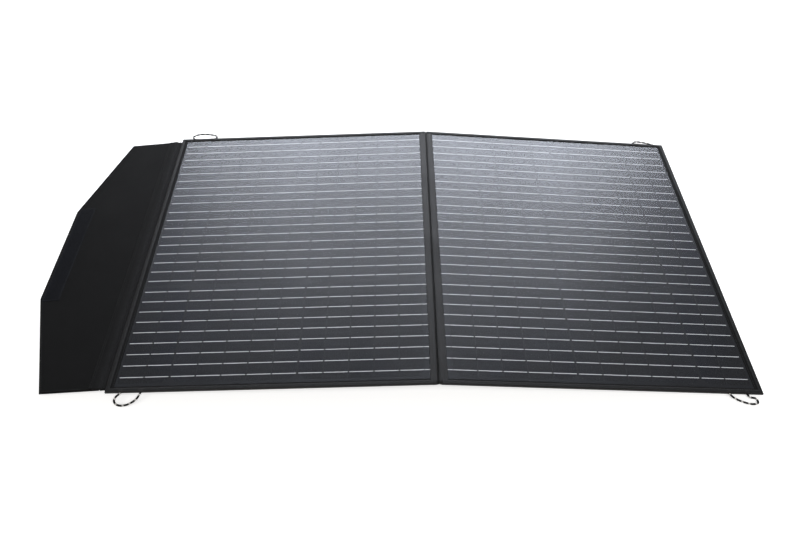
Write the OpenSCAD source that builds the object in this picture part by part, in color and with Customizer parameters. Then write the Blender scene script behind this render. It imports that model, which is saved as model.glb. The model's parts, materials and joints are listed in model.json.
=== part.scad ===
// Folding solar panel for camping: two stiff panels joined by a fabric fold, a closing flap on the left,
// a zipped pocket with the junction box behind the left panel, and four cord loops at the outer corners.
// It lies open on the ground with its cells up. The full pocket holds the fold and the left panel's outer edge
// off the ground, the right panel slopes down from the fold, and the flap slopes down from the left panel.
// +X runs from the flap to the right panel, +Y away from the front edge, +Z up from the ground.

/* [Panels] */
// Width of each panel, from the fold line to its outer edge
panel_w = 452; // [448:1:470]
// Depth of each panel, from front to back
panel_d = 530; // [524:1:560]
// Height of the panels' underside at the fold when the panel is laid out
fold_rise = 34; // [30:0.5:40]
// Height of the left panel's underside at its outer edge when the panel is laid out
left_rise = 16; // [12:0.5:18]
// Width of the fabric border round the three outer sides of each window
border_w = 10; // [8:0.5:12]
// Distance from the fold line to the window
fold_border = 12; // [10:0.5:13]
// Width of the edge binding on each face
binding_w = 6; // [4:0.5:7]

/* [Cells] */
// Side of the square silicon wafer
wafer = 166; // [160:1:168]
// Number of strips cut from one wafer
cuts = 5; // [5:1:5]
// Number of busbar ribbons across one wafer
busbars = 9; // [5:1:11]
// Rows of wafers from front to back
rows = 3; // [3:1:3]
// Strips in each row
strips = 12; // [10:1:12]
// Gap between two strips of one wafer
strip_gap = 1.6; // [1:0.1:1.8]
// Gap between two wafers, along a row and between rows
wafer_gap = 2.6; // [2:0.1:3]
// Leg of the cut corner of a wafer
corner_cut = 8.5; // [2:0.5:12]
// Distance from the fold line to the first strip
cells_start = 19.5; // [18:0.5:20]
// Width of a ribbon
ribbon_w = 1; // [0.6:0.1:1.4]

/* [Flap] */
// Length of the flap along the left panel's edge
flap_l = 520; // [480:1:524]
// Reach of the flap at its middle, from its fold
flap_reach = 142; // [120:1:160]
// Reach of the flap at its ends
flap_end_reach = 85; // [60:1:110]
// Length of the straight outer edge
flap_front = 186; // [150:1:240]
// Thickness of the flap
flap_t = 3; // [2.6:0.1:3]
// Width of the spine strip between the left panel and the flap
spine_w = 9; // [9:0.1:12]
// Length of the hook strip, and of the loop strip that it grips
hook_l = 198; // [120:1:230]
// Width of the hook strip
hook_w = 27; // [20:1:30]
// Margin between the hook strip and the flap's outer edge
hook_margin = 5; // [5:1:10]

/* [Pocket] */
// Size of the pocket along the panel's width
pocket_w = 360; // [340:1:380]
// Size of the pocket along the panel's depth
pocket_l = 300; // [260:1:360]
// Distance from the fold line to the pocket
pocket_start = 22; // [20:1:30]
// Thickness of the pocket's fabric
pocket_t = 1; // [0.6:0.1:1.2]
// Outer size of the junction box, along the panel's width
box_w = 84; // [80:1:90]
// Outer size of the junction box, along the panel's depth
box_l = 116; // [110:1:130]
// Height of the junction box with its lid
box_h = 18; // [15:0.5:20]

/* [Cord loops] */
// Diameter of the cord
cord_d = 3; // [2:0.5:3]

/* [Hidden] */

// Layers of a panel, measured up from the fold plane, in which the two panels' faces meet when shut
face_clear = 0.15;
binding_t = 0.4;
border_t = 0.4;
film_t = 0.3;
ribbon_t = 0.1;
cell_t = 0.2;
backsheet_t = 0.3;
board_t = 2;
back_fabric_t = 0.5;
border_top = -face_clear - binding_t;
film_top = border_top - border_t;
ribbon_top = film_top - film_t;
cell_top = ribbon_top - ribbon_t;
backsheet_top = cell_top - cell_t;
board_top = backsheet_top - backsheet_t;
back_fabric_top = board_top - board_t;
back_face = back_fabric_top - back_fabric_t;
underside = back_face - binding_t;

// Slope of each panel, and the height of the fold line
right_slope = asin(fold_rise / panel_w);
left_slope = asin((fold_rise - left_rise) / panel_w);
fold_z = fold_rise - underside * cos(right_slope);
half_d = panel_d / 2;

// Spine's fold line: just past the left panel's outer edge, one flap thickness above its underside
spine_gap = 0.9;
spine_out = (panel_w + spine_gap) * cos(left_slope) + (underside + flap_t) * sin(left_slope);
spine_z = fold_z - (panel_w + spine_gap) * sin(left_slope) + (underside + flap_t) * cos(left_slope);

// Slope at which the flap's tip meets the ground
flap_run = spine_w + flap_reach;
flap_slope = asin(spine_z / norm([flap_run, flap_t])) - atan(flap_t / flap_run);

// Position of the fold line that centres the whole on X = 0, and of the spine's fold line
left_extent = spine_out + flap_run * cos(flap_slope);
right_extent = panel_w * cos(right_slope) - face_clear * sin(right_slope);
fold_x = (left_extent - right_extent) / 2;
spine_x = fold_x - spine_out;

// Extent of the stiff layers and of the window
stiff_start = 3;
edge_inset = 1;
laminate_start = 9;
laminate_end = panel_w - 5;
window_end = panel_w - border_w - 1;
window_half_d = half_d - border_w + 2;
laminate_half_d = half_d - 5;

// Cells: one strip, the rows, and the ribbons
strip_w = wafer / cuts;
ribbon_pitch = wafer / busbars;
row_pitch = wafer + wafer_gap;
ribbon_inset = 0.4;
stub_l = 9.5;
bus_w = 3;
function strip_start(i) = cells_start + i * (strip_w + strip_gap) + floor(i / cuts) * (wafer_gap - strip_gap);
function row_y(r) = (r - (rows - 1) / 2) * row_pitch;
function ribbon_y(b) = (b - (busbars - 1) / 2) * ribbon_pitch;

// Flap and spine, outward from the spine's fold line
fold_relief = 0.3;
spine_t = 2.4;
skin_t = 0.6;
strip_t = 0.9;
hook_centre = flap_reach - hook_margin - hook_w / 2;

// Jumper that carries the right panel's current over the fold
jumper_w = 12;
jumper_t = 0.3;
jumper_y = -150;

// Pocket, in the left panel's own axes: outward from the fold, front to back, and up
pocket_end = pocket_start + pocket_w;
zip_start = pocket_start + 10;
zip_l = 200;
zip_drop = 6.5;
zip_y = -pocket_l / 2;
tape_h = 8;
tape_t = 0.6;
tooth_pitch = 2.5;
slider_l = 11;
slider_h = 7;
slider_t = 2.4;
slider_at = zip_start + 1;
pull_l = 22;
pull_h = 5;
pull_t = 1;
pin_r = 0.7;
pin_out = 1.8;
eye_r = 1.5;

// Junction box, with its lid on the side that faces the ground
box_start = pocket_start + 20;
box_top = back_face - 0.2;
lid_t = 2.5;
box_wall = 2;
screw_r = 1.6;
screw_inset = 5;
terminals = 4;
terminal_pitch = 20;
gland_r = 5;
gland_bore_r = 3;
gland_l = 14;

// Corner anchors: webbing folded into the hem, where the ends of a cord loop are sewn
anchor_w = 44;
anchor_d = 8;
anchor_t = board_t;
anchor_end = panel_w - 12;

// Route of each cord loop: the first and last points lie on the panel's edge. The stiff little loops on the left
// stand out from the raised edge, and those on the right lie on the ground.
route_front_left = [
    [-354, -265, 18.5], [-360, -269, 16], [-363, -273, 12], [-360, -277, 9], [-353, -278, 7.5],
    [-344, -276, 8], [-334, -271, 12], [-327, -265, 19.5],
];
route_back_left = [
    [-352, 265, 18.5], [-357, 270, 18], [-359, 277, 16], [-353, 285, 14], [-342, 288, 13],
    [-330, 287, 13], [-319, 282, 14.5], [-315, 275, 16.5], [-317, 269, 18.5], [-321, 265, 19.5],
];
route_front_right = [
    [477, -265, 6], [485, -271, 3], [496, -276, 1.5], [507, -279, 1.5], [515, -277, 1.5],
    [514, -271, 2], [506, -269, 3], [503, -265, 4],
];
route_back_right = [
    [476, 265, 6], [473, 269, 4], [475, 275, 2], [482, 278, 1.5], [492, 276, 1.5],
    [501, 272, 2], [507, 268, 3], [511, 265, 3.5],
];
cord_sides = 8;
cord_steps = 2;

// One point of a smooth curve through four route points
function smooth(a, b, c, d, t) =
    0.5 * (2 * b + (c - a) * t + (2 * a - 5 * b + 4 * c - d) * t * t + (3 * b - a - 3 * c + d) * t * t * t);

// A route with cord_steps points for each of its stretches
function rounded(route) = [
    for (i = [0 : len(route) - 2], s = [0 : cord_steps - 1])
        smooth(
            i == 0 ? 2 * route[0] - route[1] : route[i - 1],
            route[i],
            route[i + 1],
            i == len(route) - 2 ? 2 * route[i + 1] - route[i] : route[i + 2],
            s / cord_steps
        ),
    route[len(route) - 1],
];

function unit(v) = v / norm(v);

// Direction of a path at one of its points; at its two ends it is square to the panel's edge
function heading(path, i) =
    i == 0 || i == len(path) - 1
        ? [0, (i == 0 ? 1 : -1) * sign(path[0][1]), 0]
        : unit(path[i + 1] - path[i - 1]);

// A ring of the cord, square to its heading
function ring(centre, ahead) =
    let (side = unit(cross(ahead, [0, 0, 1])), over = cross(side, ahead))
    [
        for (k = [0 : cord_sides - 1])
            let (turn = (k + 0.5) * 360 / cord_sides)
            centre + cord_d / 2 * (cos(turn) * side + sin(turn) * over)
    ];

// A cord along a route: one closed tube
module cord(route) {
    path = rounded(route);
    rings = len(path);
    points = [for (i = [0 : rings - 1]) each ring(path[i], heading(path, i))];
    sides = [
        for (i = [0 : rings - 2], k = [0 : cord_sides - 1])
            let (n = (k + 1) % cord_sides, a = i * cord_sides, b = a + cord_sides)
            each [[a + k, b + k, b + n], [a + k, b + n, a + n]]
    ];
    last = (rings - 1) * cord_sides;
    caps = [
        [for (k = [0 : cord_sides - 1]) k],
        [for (k = [cord_sides - 1 : -1 : 0]) last + k],
    ];
    color("#26262a") polyhedron(points, concat(sides, caps));
}

// Carries a shape from a panel's own axes to the right panel's place, or mirrored to the left panel's
module on_right() {
    translate([fold_x, 0, fold_z]) rotate([0, right_slope, 0]) children();
}

module on_left() {
    translate([fold_x, 0, fold_z]) mirror([1, 0, 0]) rotate([0, left_slope, 0]) children();
}

// Carries a shape from the flap's own axes, outward from the spine's fold line and up from the flap's face
module on_flap() {
    translate([spine_x, 0, spine_z]) mirror([1, 0, 0]) rotate([0, flap_slope, 0]) children();
}

// A flat plate in a panel's own axes
module plate(from, to, half_depth, top, thickness) {
    translate([from, -half_depth, top - thickness]) cube([to - from, 2 * half_depth, thickness]);
}

module panel_back_fabric() {
    color("#1d1d1f")
        plate(stiff_start, panel_w - edge_inset, half_d - edge_inset, back_fabric_top, back_fabric_t);
}

// Stiffening board, notched where the corner anchors lie
module panel_board() {
    color("#3a3a36") difference() {
        plate(stiff_start, panel_w - edge_inset, half_d - edge_inset, board_top, board_t);
        for (side = [-1, 1])
            translate([anchor_end - anchor_w - 0.2, side * half_d - anchor_d, board_top - board_t - 1])
                cube([anchor_w + 0.4, 2 * anchor_d, board_t + 2]);
    }
}

module panel_backsheet() {
    color("#141416") plate(laminate_start, laminate_end, laminate_half_d, backsheet_top, backsheet_t);
}

// One wafer strip; the strips at a wafer's two ends have its cut corners
module cell_strip(i) {
    first = i % cuts == 0;
    last = i % cuts == cuts - 1;
    w = strip_w;
    h = wafer / 2;
    c = corner_cut;
    translate([strip_start(i), 0, cell_top - cell_t])
        linear_extrude(cell_t)
            polygon(concat(
                first ? [[c, -h]] : [[0, -h]],
                last ? [[w - c, -h], [w, -h + c], [w, h - c], [w - c, h]] : [[w, -h], [w, h]],
                first ? [[c, h], [0, h - c], [0, -h + c]] : [[0, h]]
            ));
}

module panel_cells() {
    color("#16181f")
        for (r = [0 : rows - 1], i = [0 : strips - 1])
            translate([0, row_y(r), 0]) cell_strip(i);
}

// Ribbons: one dash on each strip, and a stub on the side of the fold
module panel_ribbons() {
    color("#c9ccd2")
        for (r = [0 : rows - 1], b = [0 : busbars - 1])
            translate([0, row_y(r) + ribbon_y(b) - ribbon_w / 2, cell_top]) {
                translate([cells_start - stub_l, 0, 0]) cube([stub_l - ribbon_inset, ribbon_w, ribbon_t]);
                for (i = [0 : strips - 1])
                    translate([strip_start(i) + ribbon_inset, 0, 0])
                        cube([strip_w - 2 * ribbon_inset, ribbon_w, ribbon_t]);
            }
}

// Bus strips that gather each row's ribbons at the two ends of the row, hidden under the border
module panel_bus_strips() {
    color("#b9bcc2")
        for (r = [0 : rows - 1], x = [laminate_start, laminate_end - bus_w])
            translate([x, row_y(r) - wafer / 2, cell_top - cell_t]) cube([bus_w, wafer, cell_t]);
}

module panel_film() {
    color("#2b2e36", 0.35) plate(laminate_start, laminate_end, laminate_half_d, film_top, film_t);
}

// Front border of fabric, with the window that the cells show through
module panel_border() {
    color("#19191b") difference() {
        plate(stiff_start, panel_w - edge_inset, half_d - edge_inset, border_top, border_t);
        plate(fold_border, window_end, window_half_d, border_top + 1, border_t + 2);
    }
}

// Edge binding: three strips folded round the front, outer and back edges
module binding_strip(length) {
    difference() {
        translate([0, 0, underside]) cube([length, binding_w, -face_clear - underside]);
        translate([-1, edge_inset, back_face]) cube([length + 2, binding_w, border_top - back_face]);
    }
}

module panel_binding() {
    run = panel_w - stiff_start - edge_inset;
    color("#1b1b1d") {
        for (side = [0, 1])
            mirror([0, side, 0]) translate([stiff_start, -half_d, 0]) binding_strip(run);
        translate([panel_w, -half_d + binding_w + 0.1, 0])
            rotate([0, 0, 90]) binding_strip(panel_d - 2 * binding_w - 0.2);
    }
}

module panel_cord_anchors() {
    color("#222224")
        for (side = [-1, 1])
            translate([
                anchor_end - anchor_w,
                side > 0 ? half_d - anchor_d + 0.2 : -half_d + edge_inset,
                board_top - board_t
            ])
                cube([anchor_w, anchor_d - edge_inset - 0.2, anchor_t]);
}

// The half of the fabric fold that is sewn to one panel: an upper and a lower layer
module panel_hinge_front() {
    color("#151517")
        plate(2 * fold_relief, stiff_start, half_d - edge_inset, border_top, border_t);
}

module panel_hinge_back() {
    color("#151517")
        plate(3 * fold_relief, stiff_start, half_d - edge_inset, back_fabric_top, back_fabric_t);
}

module panel_jumper() {
    color("#8a5a32")
        translate([2 * fold_relief, jumper_y - jumper_w / 2, cell_top - jumper_t])
            cube([laminate_start - 2 * fold_relief, jumper_w, jumper_t]);
}

module left_back_fabric() { on_left() panel_back_fabric(); }
module left_board() { on_left() panel_board(); }
module left_backsheet() { on_left() panel_backsheet(); }
module left_cells() { on_left() panel_cells(); }
module left_ribbons() { on_left() panel_ribbons(); }
module left_bus_strips() { on_left() panel_bus_strips(); }
module left_film() { on_left() panel_film(); }
module left_border() { on_left() panel_border(); }
module left_binding() { on_left() panel_binding(); }
module left_cord_anchors() { on_left() panel_cord_anchors(); }
module left_hinge_front() { on_left() panel_hinge_front(); }
module left_hinge_back() { on_left() panel_hinge_back(); }
module left_jumper() { on_left() panel_jumper(); }

module right_back_fabric() { on_right() panel_back_fabric(); }
module right_board() { on_right() panel_board(); }
module right_backsheet() { on_right() panel_backsheet(); }
module right_cells() { on_right() panel_cells(); }
module right_ribbons() { on_right() panel_ribbons(); }
module right_bus_strips() { on_right() panel_bus_strips(); }
module right_film() { on_right() panel_film(); }
module right_border() { on_right() panel_border(); }
module right_binding() { on_right() panel_binding(); }
module right_cord_anchors() { on_right() panel_cord_anchors(); }
module right_hinge_front() { on_right() panel_hinge_front(); }
module right_hinge_back() { on_right() panel_hinge_back(); }
module right_jumper() { on_right() panel_jumper(); }

// Loop strip on the back of the right panel, where the closed flap's hook strip lands
module right_loop_strip() {
    color("#101114")
        on_right() translate([panel_w - hook_centre - hook_w / 2 - 4, -hook_l / 2 - 4, back_face - strip_t])
            cube([hook_w + 8, hook_l + 8, strip_t]);
}

// Fabric spine between the left panel and the flap: it stands along the two shut panels' edges
module spine_fabric() {
    color("#161618") on_flap()
        translate([fold_relief, -flap_l / 2, -flap_t]) cube([spine_w - 2 * fold_relief, flap_l, spine_t]);
}

// Outline of the flap, outward from its own fold, made smaller all round by a margin
module flap_outline(margin = 0) {
    run = (flap_l - flap_front) / 2;
    rise = flap_reach - flap_end_reach;
    // Where the margin's line meets the slanted edge's line, at the tip and at the end
    lean = norm([run, rise]);
    tip = flap_front / 2 - margin * (lean - run) / rise;
    end = flap_end_reach - margin * (lean - rise) / run;
    reach = flap_reach - margin;
    half = flap_l / 2 - margin;
    polygon([[fold_relief, -half], [end, -half], [reach, -tip], [reach, tip], [end, half], [fold_relief, half]]);
}

// A layer of the flap, with its lower face this far below the flap's face
module flap_layer(depth, height) {
    on_flap() translate([spine_w, 0, -depth]) linear_extrude(height) children();
}

module flap_face() {
    color("#1a1a1c") flap_layer(skin_t, skin_t) flap_outline(1);
}

module flap_board() {
    color("#3a3a36") flap_layer(flap_t - skin_t, flap_t - 2 * skin_t) flap_outline(2);
}

module flap_back() {
    color("#1a1a1c") flap_layer(flap_t, skin_t) flap_outline(1);
}

// Binding along the flap's free edges
module flap_binding() {
    color("#1d1d1f") difference() {
        flap_layer(flap_t, flap_t) flap_outline();
        flap_layer(flap_t + 1, flap_t + 2) {
            flap_outline(1);
            translate([-1, 0]) flap_outline(1);
        }
    }
}

module hook_strip() {
    color("#14161c") on_flap()
        translate([spine_w + hook_centre - hook_w / 2, -hook_l / 2, 0]) cube([hook_w, hook_l, strip_t]);
}

// Outline of the pocket in the left panel's upright section: it hangs from the back and rests on the ground
module pocket_section(wall) {
    function ground(u) = u * tan(left_slope) - fold_z / cos(left_slope);
    from = pocket_start + wall;
    to = pocket_end - wall;
    top = wall > 0 ? back_face + 1 : back_face;
    polygon([
        [from, top], [from, ground(from) + 4 + wall], [from + 4, ground(from + 4) + wall],
        [to - 4, ground(to - 4) + wall], [to, ground(to) + 4 + wall], [to, top]
    ]);
}

module pocket() {
    color("#1c1c1e") on_left() difference() {
        translate([0, pocket_l / 2, 0]) rotate([90, 0, 0]) linear_extrude(pocket_l) pocket_section(0);
        translate([0, pocket_l / 2 - pocket_t, 0])
            rotate([90, 0, 0]) linear_extrude(pocket_l - 2 * pocket_t) pocket_section(pocket_t);
    }
}

// Zip along the pocket's front wall
module zip_tape() {
    color("#141414") on_left()
        translate([zip_start - 3, zip_y - tape_t, back_face - zip_drop - tape_h / 2])
            cube([zip_l + 6, tape_t, tape_h]);
}

module zip_teeth() {
    color("#26262a") on_left()
        for (i = [0 : floor(zip_l / tooth_pitch) - 1])
            translate([zip_start + i * tooth_pitch, zip_y - tape_t - 0.8, back_face - zip_drop - 1.3])
                cube([tooth_pitch * 0.6, 0.8, 2.6]);
}

// Slider: a body with a channel for the teeth and a bridge that holds the pull's pin
module zip_slider() {
    outer = zip_y - tape_t - slider_t;
    color("#3c3d40") on_left() translate([slider_at, outer, back_face - zip_drop - slider_h / 2]) {
        difference() {
            cube([slider_l, slider_t - 0.2, slider_h]);
            translate([-1, slider_t - 1.3, slider_h / 2 - 1.8]) cube([slider_l + 2, 2, 3.6]);
        }
        for (z = [0.2, slider_h - 1.2])
            translate([slider_l / 2 - 1.5, -pin_out - 1, z]) cube([3, pin_out + 1, 1]);
        translate([slider_l / 2, -pin_out, 0.2]) cylinder(h = slider_h - 0.4, r = pin_r, $fn = 32);
    }
}

// Pull: a tongue with an eye round the slider's pin
module zip_pull() {
    outer = zip_y - tape_t - slider_t;
    tongue_h = slider_h - 2.8;
    color("#3c3d40") on_left()
        translate([slider_at + slider_l / 2, outer - pin_out, back_face - zip_drop - tongue_h / 2])
            difference() {
                union() {
                    cylinder(h = tongue_h, r = eye_r, $fn = 48);
                    translate([1, -eye_r, 0]) cube([pull_l, pull_t, tongue_h]);
                    translate([pull_l - 3, -eye_r, tongue_h / 2])
                        rotate([-90, 0, 0]) cylinder(h = pull_t, r = pull_h / 2, $fn = 48);
                }
                translate([0, 0, -1]) cylinder(h = slider_h, r = pin_r + 0.1, $fn = 48);
            }
}

// Where the junction box's parts start, in the left panel's axes
module in_box() {
    on_left() translate([box_start, -box_l / 2, box_top - box_h]) children();
}

module box_screw_places() {
    for (x = [screw_inset, box_w - screw_inset], y = [screw_inset, box_l - screw_inset])
        translate([x, y, 0]) children();
}

// Junction box base: an open tray with four screw posts and a hole for the gland
module box_base() {
    color("#202226") in_box() difference() {
        translate([0, 0, lid_t]) cube([box_w, box_l, box_h - lid_t]);
        difference() {
            translate([box_wall, box_wall, lid_t - 1])
                cube([box_w - 2 * box_wall, box_l - 2 * box_wall, box_h - lid_t - box_wall + 1]);
            box_screw_places() cylinder(h = box_h, r = 3.4, $fn = 48);
        }
        box_screw_places() translate([0, 0, lid_t - 1]) cylinder(h = 8, r = screw_r, $fn = 48);
        translate([box_w / 2, -1, box_h / 2 + 1]) rotate([-90, 0, 0]) cylinder(h = box_wall + 2, r = 4, $fn = 48);
    }
}

module box_lid() {
    color("#24262a") in_box() difference() {
        cube([box_w, box_l, lid_t]);
        box_screw_places() translate([0, 0, -1]) cylinder(h = lid_t + 2, r = screw_r + 0.1, $fn = 48);
        box_screw_places() translate([0, 0, -1]) cylinder(h = 2.5, r = 3, $fn = 48);
    }
}

module box_screws() {
    color("silver") in_box() box_screw_places() {
        difference() {
            translate([0, 0, 0.1]) cylinder(h = 1.4, r = 2.8, $fn = 48);
            translate([0, 0, -0.5]) cylinder(h = 1.4, r = 1.2, $fn = 6);
        }
        translate([0, 0, 1]) cylinder(h = 7.5, r = screw_r - 0.1, $fn = 48);
    }
}

module box_terminals() {
    color("#b58a3c") in_box()
        for (i = [0 : terminals - 1])
            translate([box_w / 2 - 8, box_l / 2 + (i - (terminals - 1) / 2) * terminal_pitch - 4, box_h - box_wall - 4])
                difference() {
                    cube([16, 8, 4]);
                    for (x = [4, 12]) translate([x, 4, -1]) cylinder(h = 3, r = 1.5, $fn = 32);
                }
}

module box_diodes() {
    color("#0e0e10") in_box()
        for (i = [0 : terminals - 2])
            translate([box_w / 2 + 12, box_l / 2 + (i - (terminals - 2) / 2) * terminal_pitch, box_h - box_wall - 3])
                translate([0, -4, 0]) cube([5.4, 8, 3]);
}

// Cable gland in the front wall of the box, empty: the lead is packed away
module box_gland() {
    color("#17181a") in_box() translate([box_w / 2, 0, box_h / 2 + 1]) rotate([90, 0, 0]) difference() {
        union() {
            cylinder(h = gland_l, r = gland_r, $fn = 64);
            translate([0, 0, -box_wall - 1]) cylinder(h = box_wall + 2, r = 3.8, $fn = 64);
            cylinder(h = 4, r = gland_r + 1, $fn = 6);
        }
        translate([0, 0, -box_wall - 2]) cylinder(h = gland_l + box_wall + 3, r = gland_bore_r, $fn = 64);
    }
}

module cord_front_left() { cord(route_front_left); }
module cord_back_left() { cord(route_back_left); }
module cord_front_right() { cord(route_front_right); }
module cord_back_right() { cord(route_back_right); }

left_back_fabric();
left_board();
left_backsheet();
left_cells();
left_ribbons();
left_bus_strips();
left_film();
left_border();
left_binding();
left_cord_anchors();
left_hinge_front();
left_hinge_back();
left_jumper();
right_back_fabric();
right_board();
right_backsheet();
right_cells();
right_ribbons();
right_bus_strips();
right_film();
right_border();
right_binding();
right_cord_anchors();
right_hinge_front();
right_hinge_back();
right_jumper();
right_loop_strip();
spine_fabric();
flap_face();
flap_board();
flap_back();
flap_binding();
hook_strip();
pocket();
zip_tape();
zip_teeth();
zip_slider();
zip_pull();
box_base();
box_lid();
box_screws();
box_terminals();
box_diodes();
box_gland();
cord_front_left();
cord_back_left();
cord_front_right();
cord_back_right();
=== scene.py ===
"""Looks of the folding solar panel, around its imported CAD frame. Lengths are in metres."""
import json
import math
import random

import bmesh
import bpy
from mathutils import Matrix, Vector, noise


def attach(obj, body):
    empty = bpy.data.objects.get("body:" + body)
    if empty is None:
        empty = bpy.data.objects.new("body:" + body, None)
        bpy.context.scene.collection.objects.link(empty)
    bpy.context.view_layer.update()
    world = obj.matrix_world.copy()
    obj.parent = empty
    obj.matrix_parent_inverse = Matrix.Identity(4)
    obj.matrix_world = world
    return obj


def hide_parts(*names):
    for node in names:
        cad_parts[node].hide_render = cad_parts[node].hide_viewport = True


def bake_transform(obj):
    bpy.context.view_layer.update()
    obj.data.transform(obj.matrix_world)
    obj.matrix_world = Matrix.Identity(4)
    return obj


scene = bpy.context.scene
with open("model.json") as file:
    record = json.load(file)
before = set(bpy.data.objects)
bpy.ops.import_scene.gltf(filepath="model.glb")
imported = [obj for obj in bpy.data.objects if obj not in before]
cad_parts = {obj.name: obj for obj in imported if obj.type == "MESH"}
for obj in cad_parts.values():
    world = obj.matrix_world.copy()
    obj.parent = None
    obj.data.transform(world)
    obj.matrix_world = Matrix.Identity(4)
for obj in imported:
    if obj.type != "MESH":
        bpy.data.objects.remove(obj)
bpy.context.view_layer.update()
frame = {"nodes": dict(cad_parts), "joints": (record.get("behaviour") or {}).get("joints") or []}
nodes = frame["nodes"]
JOINTS = {j["name"]: j for j in frame["joints"]}
MM = 0.001

# ---- where the bodies lie
PANEL_W_MM, FOLD_RISE_MM, LEFT_RISE_MM = 452, 34, 16
PANEL_W = 0.452
HALF_D = 0.265
WINDOW_START, WINDOW_END, WINDOW_HALF = 0.012, 0.441, 0.257
# Levels under a panel's fold plane, in mm
CLOTH_FACE, CLOTH_UNDER = -0.52, -0.97
FILM_FACE, FILM_UNDER = -1.03, -1.22
BACK_TOP, BACK_FACE, UNDERSIDE = -3.88, -4.37, -4.72
SEAM_INSET, BINDING_SEAM = 1.7, 4.7
# Places of the rows of vertices across a cloth's rolled edge, in mm
EDGE_STEPS = (0, 0.4, 0.9, 1.7, 2.4)
FOLD = Vector(JOINTS["centre_fold"]["pos_m"])
SPINE = Vector(JOINTS["spine_fold"]["pos_m"])
FLAP = Vector(JOINTS["flap_fold"]["pos_m"])
RIGHT_SLOPE = math.asin(FOLD_RISE_MM / PANEL_W_MM)
LEFT_SLOPE = math.asin((FOLD_RISE_MM - LEFT_RISE_MM) / PANEL_W_MM)
FLAP_SLOPE = math.atan2(SPINE.z - FLAP.z, SPINE.x - FLAP.x)
SPINE_W = (SPINE - FLAP).length
FLAP_REACH, FLAP_END, FLAP_TIP, FLAP_HALF = 0.142, 0.085, 0.093, 0.26
FLAP_SLANT = (FLAP_REACH - FLAP_END) / (FLAP_HALF - FLAP_TIP)
HINGE_HALF, FOLD_HALF = 0.2595, 0.2645


def on_panel(side):
    """Takes (u outward from the fold, y, w up from the fold plane) to the row frame."""
    slope = LEFT_SLOPE if side == "left" else RIGHT_SLOPE
    way = -1 if side == "left" else 1
    c, s = math.cos(slope), math.sin(slope)
    return lambda u, y, w: Vector((FOLD.x + way * (u * c + w * s), y, FOLD.z - u * s + w * c))


def on_flap(s, y, z):
    """Takes (s outward from the spine's fold line, y, z up from the flap's face) to the row frame."""
    c, n = math.cos(FLAP_SLOPE), math.sin(FLAP_SLOPE)
    return Vector((SPINE.x - (s * c + z * n), y, SPINE.z - s * n + z * c))


# ---- camera
camera_data = bpy.data.cameras.new("camera")
camera_data.sensor_width = 36
camera_data.lens = 29.459
camera_data.clip_end = 60
camera = bpy.data.objects.new("camera", camera_data)
scene.collection.objects.link(camera)
camera.matrix_world = (
    Matrix.Translation((0.012713, -0.703568, 0.808965))
    @ Matrix.Rotation(-0.019382, 4, "Z")
    @ Matrix.Rotation(math.pi / 2 - 0.875835, 4, "X")
    @ Matrix.Rotation(0.010652, 4, "Z")
)
scene.camera = camera


# ---- mesh helpers
def make(name, verts, faces, uvs, material, smooth=True):
    """A mesh object. uvs holds one (u, v) per vertex, in metres of cloth."""
    mesh = bpy.data.meshes.new(name)
    mesh.from_pydata([tuple(v) for v in verts], [], faces)
    if uvs is not None:
        layer = mesh.uv_layers.new(name="cloth")
        flat = [0.0] * (2 * len(mesh.loops))
        for i, loop in enumerate(mesh.loops):
            flat[2 * i], flat[2 * i + 1] = uvs[loop.vertex_index]
        layer.data.foreach_set("uv", flat)
    mesh.polygons.foreach_set("use_smooth", [smooth] * len(mesh.polygons))
    mesh.materials.append(material)
    mesh.validate()
    mesh.update()
    obj = bpy.data.objects.new(name, mesh)
    scene.collection.objects.link(obj)
    return obj


def rounded(s0, s1, half, r, step):
    """A rectangle's outline with round corners, as (s, y, outward s, outward y), every step degrees round them."""
    outline = []
    corners = ((s1 - r, half - r), (s0 + r, half - r), (s0 + r, -half + r), (s1 - r, -half + r))
    for i, (cs, cy) in enumerate(corners):
        for k in range(round(90 / step) + 1):
            turn = math.radians(90 * i + step * k)
            c, n = math.cos(turn), math.sin(turn)
            outline.append((cs + r * c, cy + r * n, c, n))
    return outline


def grid_faces(rows, cols, first=0, close_rows=False, close_cols=False, flip=False):
    """Quads of a grid of rows x cols vertices."""
    faces = []
    for i in range(rows if close_rows else rows - 1):
        for j in range(cols if close_cols else cols - 1):
            a = first + i * cols + j
            b = first + i * cols + (j + 1) % cols
            c = first + ((i + 1) % rows) * cols + (j + 1) % cols
            d = first + ((i + 1) % rows) * cols + j
            faces.append((d, c, b, a) if flip else (a, b, c, d))
    return faces


def spread(a, b, n):
    return [a + (b - a) * i / n for i in range(n + 1)]


def ripple(x, y, size, seed=0.0):
    """Smooth noise from -1 to 1, one swell for each size."""
    return noise.noise(Vector((x / size, y / size, seed)))


def shell(*parts, **options):
    """A closed mesh object, with every face turned outward."""
    obj = make(*parts, **options)
    bm = bmesh.new()
    bm.from_mesh(obj.data)
    bmesh.ops.recalc_face_normals(bm, faces=bm.faces)
    bm.to_mesh(obj.data)
    bm.free()
    return obj


# Neighbour of a grid cell, and the two corners of the side that faces it
CELL_SIDES = ((-1, 0, (0, 1), (0, 0)), (1, 0, (1, 0), (1, 1)), (0, -1, (0, 0), (1, 0)), (0, 1, (1, 1), (0, 1)))
# Along a stitch: share of its length, share of its radius, height in radii
STITCH_SHAPE = (
    (0.0, 0.25, -0.9), (0.12, 0.8, -0.1), (0.35, 1.0, 0.25), (0.65, 1.0, 0.25), (0.88, 0.8, -0.1), (1.0, 0.25, -0.9),
)


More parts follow.
